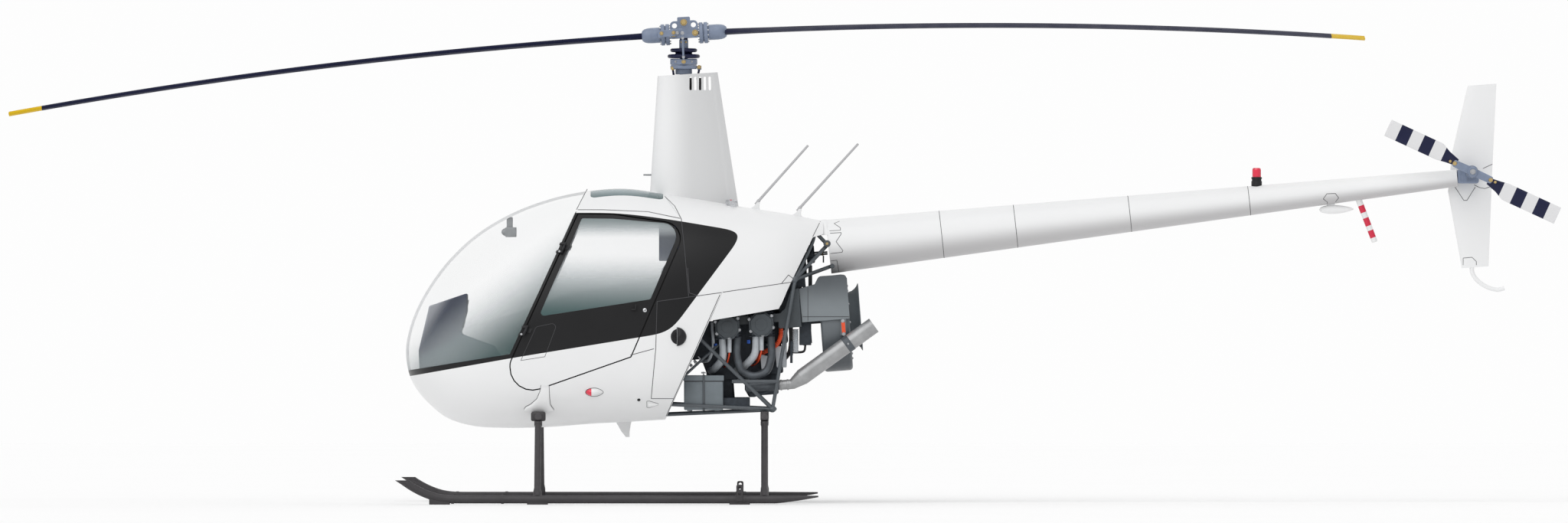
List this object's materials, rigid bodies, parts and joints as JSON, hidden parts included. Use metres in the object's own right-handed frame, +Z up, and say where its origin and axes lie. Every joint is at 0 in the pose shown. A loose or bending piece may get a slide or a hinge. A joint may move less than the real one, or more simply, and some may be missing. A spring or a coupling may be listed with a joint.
{
  "type": "helicopter",
  "caption": "Light two-seat piston helicopter on skids with an open engine bay, turning rotors and cooling fan, opening doors and lifting seats.",
  "frame": {"origin": "on the floor, under the middle of the outer box", "axes": "+Z up, -X towards the nose, +Y to the pilot's right (starboard)"},
  "size_m": [8.7627, 1.986, 2.746],
  "materials": {
    "white_shell": "gloss",
    "navy_paint": "gloss",
    "black_trim": "matte",
    "grey_trim": "matte",
    "tinted_glass": "gloss",
    "clear_glass": "gloss",
    "red_lens": "gloss",
    "hub_steel": "satin",
    "gear_paint": "satin",
    "frame_paint": "satin",
    "engine_metal": "satin",
    "exhaust_steel": "satin",
    "scroll_shell": "satin",
    "belt_rubber": "matte",
    "seat_fabric": "matte"
  },
  "bodies": {
    "airframe": {"battery_box": "scroll_shell", "beacon": "red_lens", "belt_drive": "belt_rubber", "cabin_floor": "grey_trim", "cabin_roof": "white_shell", "cabin_shell": "white_shell", "collective_lever_centre": "black_trim", "collective_lever_left": "black_trim", "cross_tube_front": "gear_paint", "cross_tube_rear": "gear_paint", "cyclic_stick": "black_trim", "engine": "engine_metal", "exhaust": "exhaust_steel", "fan_scroll": "scroll_shell", "firewall": "grey_trim", "instrument_console": "grey_trim", "mast_fairing": "white_shell", "pedals": "black_trim", "seat_back_left": "seat_fabric", "seat_back_right": "seat_fabric", "skid_left": "gear_paint", "skid_right": "gear_paint", "skylight_left": "tinted_glass", "skylight_right": "tinted_glass", "stabilizer": "white_shell", "strut_front_left": "gear_paint", "strut_front_right": "gear_paint", "strut_rear_left": "gear_paint", "strut_rear_right": "gear_paint", "swashplate_lower": "hub_steel", "tail_antenna": "white_shell", "tail_boom": "white_shell", "tail_fin": "white_shell", "tail_gearbox": "engine_metal", "tail_guard": "red_lens", "tube_frame": "frame_paint", "upper_cowl": "white_shell", "whip_antenna_front": "white_shell", "whip_antenna_rear": "white_shell", "windshield_left": "clear_glass", "windshield_right": "clear_glass"},
    "rotor_shaft": {"rotor_mast": "hub_steel", "swashplate_upper": "hub_steel", "pitch_link_1": "hub_steel", "pitch_link_2": "hub_steel"},
    "rotor_head": {"rotor_hub": "hub_steel", "main_blade_1": "navy_paint", "main_blade_2": "navy_paint"},
    "tail_rotor": {"tail_rotor_hub": "engine_metal", "tail_blade_1": "navy_paint", "tail_blade_2": "navy_paint"},
    "cooling_fan": {"fan_wheel": "engine_metal"},
    "left_door": {"door_left": "white_shell", "door_window_left": "tinted_glass"},
    "right_door": {"door_right": "white_shell", "door_window_right": "tinted_glass"},
    "left_seat": {"seat_cushion_left": "seat_fabric"},
    "right_seat": {"seat_cushion_right": "seat_fabric"}
  },
  "joints": [
    {"name": "main_rotor_spin", "type": "hinge", "parent": "airframe", "child": "rotor_shaft", "pos_m": [-0.5685, 0, 2.713], "axis": [0, 0, 1], "continuous": true},
    {"name": "rotor_teeter", "type": "hinge", "parent": "rotor_shaft", "child": "rotor_head", "pos_m": [-0.5685, 0, 2.713], "axis": [0, 1, 0], "range_deg": [-2.8, 9.2]},
    {"name": "tail_rotor_spin", "type": "hinge", "parent": "airframe", "child": "tail_rotor", "pos_m": [3.8835, -0.185, 1.869], "axis": [0, 1, 0], "continuous": true},
    {"name": "cooling_fan_spin", "type": "hinge", "parent": "airframe", "child": "cooling_fan", "pos_m": [0.29005, 0, 1.03976], "axis": [0.9972, 0, 0.075], "continuous": true},
    {"name": "left_door_hinge", "type": "hinge", "parent": "airframe", "child": "left_door", "pos_m": [-1.4565, -0.583, 0.974], "axis": [-0.4097, -0.1693, -0.8964], "range_deg": [0, 80]},
    {"name": "right_door_hinge", "type": "hinge", "parent": "airframe", "child": "right_door", "pos_m": [-1.4565, 0.583, 0.974], "axis": [0.4097, -0.1693, 0.8964], "range_deg": [0, 80]},
    {"name": "left_seat_hinge", "type": "hinge", "parent": "airframe", "child": "left_seat", "pos_m": [-1.2185, -0.2475, 0.7855], "axis": [0, -1, 0], "range_deg": [0, 60]},
    {"name": "right_seat_hinge", "type": "hinge", "parent": "airframe", "child": "right_seat", "pos_m": [-1.2185, 0.2475, 0.7855], "axis": [0, -1, 0], "range_deg": [0, 60]}
  ],
  "couplings": [
    {"joint": "tail_rotor_spin", "follows": "main_rotor_spin", "ratio": 6.4}
  ]
}
